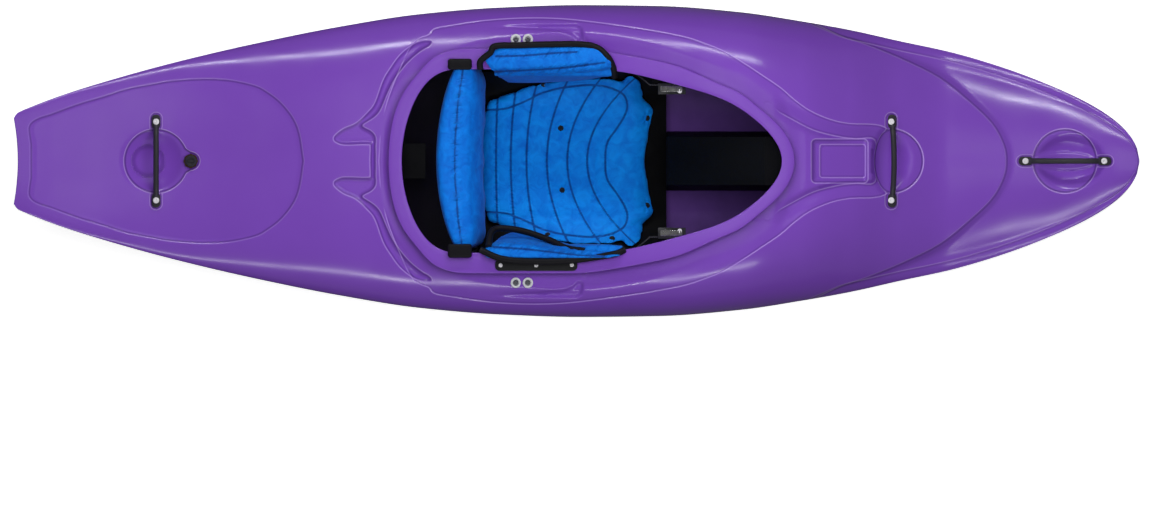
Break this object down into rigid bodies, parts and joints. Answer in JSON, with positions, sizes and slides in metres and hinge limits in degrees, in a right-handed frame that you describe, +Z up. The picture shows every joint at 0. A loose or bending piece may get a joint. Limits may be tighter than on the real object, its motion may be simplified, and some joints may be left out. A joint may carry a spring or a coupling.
{
  "type": "whitewater_kayak",
  "caption": "Short whitewater kayak with a moulded purple hull, blue padded seat and back band, ratchets, foam pillars, foot rests and grab handles",
  "frame": {"origin": "on the ground below the middle of the hull", "axes": "+X to the bow, +Y to port, +Z up"},
  "size_m": [2.431, 0.674, 0.374],
  "materials": {
    "hull_plastic": "semi gloss rotomoulded",
    "blue_fabric": "matte woven",
    "black_foam": "matte closed cell",
    "black_plastic": "matte",
    "black_webbing": "woven",
    "seal_rubber": "matte",
    "steel": "satin",
    "brass": "satin"
  },
  "bodies": {
    "boat": {"hull_shell": "hull_plastic", "stern_grab_handle": "black_plastic", "stern_handle_screw_1": "steel", "stern_handle_screw_2": "steel", "middle_grab_handle": "black_plastic", "middle_handle_screw_1": "steel", "middle_handle_screw_2": "steel", "bow_grab_handle": "black_plastic", "bow_handle_screw_1": "steel", "bow_handle_screw_2": "steel", "drain_insert": "brass", "seat_pan": "black_plastic", "seat_pad": "blue_fabric", "hip_pad_port": "blue_fabric", "hip_pad_starboard": "blue_fabric", "rim_plate_port": "black_plastic", "thigh_brace_port": "black_plastic", "rim_screw_port_1": "steel", "rim_screw_port_2": "steel", "rim_screw_port_3": "steel", "seat_washer_port_1": "steel", "seat_washer_port_2": "steel", "seat_bolt_port_1": "steel", "seat_bolt_port_2": "steel", "ratchet_base_port": "steel", "ratchet_pin_port": "steel", "foot_rail_port": "steel", "back_strap_port": "black_webbing", "rim_plate_starboard": "black_plastic", "thigh_brace_starboard": "black_plastic", "rim_screw_starboard_1": "steel", "rim_screw_starboard_2": "steel", "rim_screw_starboard_3": "steel", "seat_washer_starboard_1": "steel", "seat_washer_starboard_2": "steel", "seat_bolt_starboard_1": "steel", "seat_bolt_starboard_2": "steel", "ratchet_base_starboard": "steel", "ratchet_pin_starboard": "steel", "foot_rail_starboard": "steel", "back_strap_starboard": "black_webbing", "front_pillar": "black_foam", "rear_pillar": "black_foam", "foot_rail_bolt_1": "steel", "foot_rail_bolt_2": "steel"},
    "back_band": {"back_band_pad": "blue_fabric", "back_band_shell": "black_plastic", "ladder_strap_port": "black_plastic", "ladder_strap_starboard": "black_plastic"},
    "ratchet_port": {"ratchet_lever_port": "steel"},
    "ratchet_starboard": {"ratchet_lever_starboard": "steel"},
    "foot_rest_port": {"foot_plate_port": "black_plastic", "foot_pad_port": "black_foam"},
    "foot_rest_starboard": {"foot_plate_starboard": "black_plastic", "foot_pad_starboard": "black_foam"},
    "drain_lift": {"drain_gasket": "seal_rubber"},
    "drain_stopper": {"drain_plug": "black_plastic"}
  },
  "joints": [
    {"name": "back_band_slide", "type": "slide", "parent": "boat", "child": "back_band", "axis": [1, 0, 0], "range_m": [-0.015, 0.025], "deforming": ["back_strap_port", "back_strap_starboard"]},
    {"name": "ratchet_lever_port_hinge", "type": "hinge", "parent": "boat", "child": "ratchet_port", "pos_m": [0.223, 0.15085, 0.304], "axis": [0, 0, 1], "range_deg": [0, 60], "stiffness_Nm_per_rad": 0.08},
    {"name": "ratchet_lever_starboard_hinge", "type": "hinge", "parent": "boat", "child": "ratchet_starboard", "pos_m": [0.223, -0.15085, 0.304], "axis": [0, 0, -1], "range_deg": [0, 60], "stiffness_Nm_per_rad": 0.08},
    {"name": "foot_rest_port_slide", "type": "slide", "parent": "boat", "child": "foot_rest_port", "axis": [1, 0, 0], "range_m": [-0.04, 0.04]},
    {"name": "foot_rest_starboard_slide", "type": "slide", "parent": "boat", "child": "foot_rest_starboard", "axis": [1, 0, 0], "range_m": [-0.04, 0.04]},
    {"name": "drain_plug_lift", "type": "slide", "parent": "boat", "child": "drain_lift", "axis": [0, 0, 1], "range_m": [0, 0.009]},
    {"name": "drain_plug_turn", "type": "hinge", "parent": "drain_lift", "child": "drain_stopper", "pos_m": [-0.8331, 0, 0.217], "axis": [0, 0, 1], "range_deg": [0, 1170]}
  ],
  "couplings": [
    {"joint": "drain_plug_turn", "follows": "drain_plug_lift", "rad_per_m": 2094.4}
  ]
}
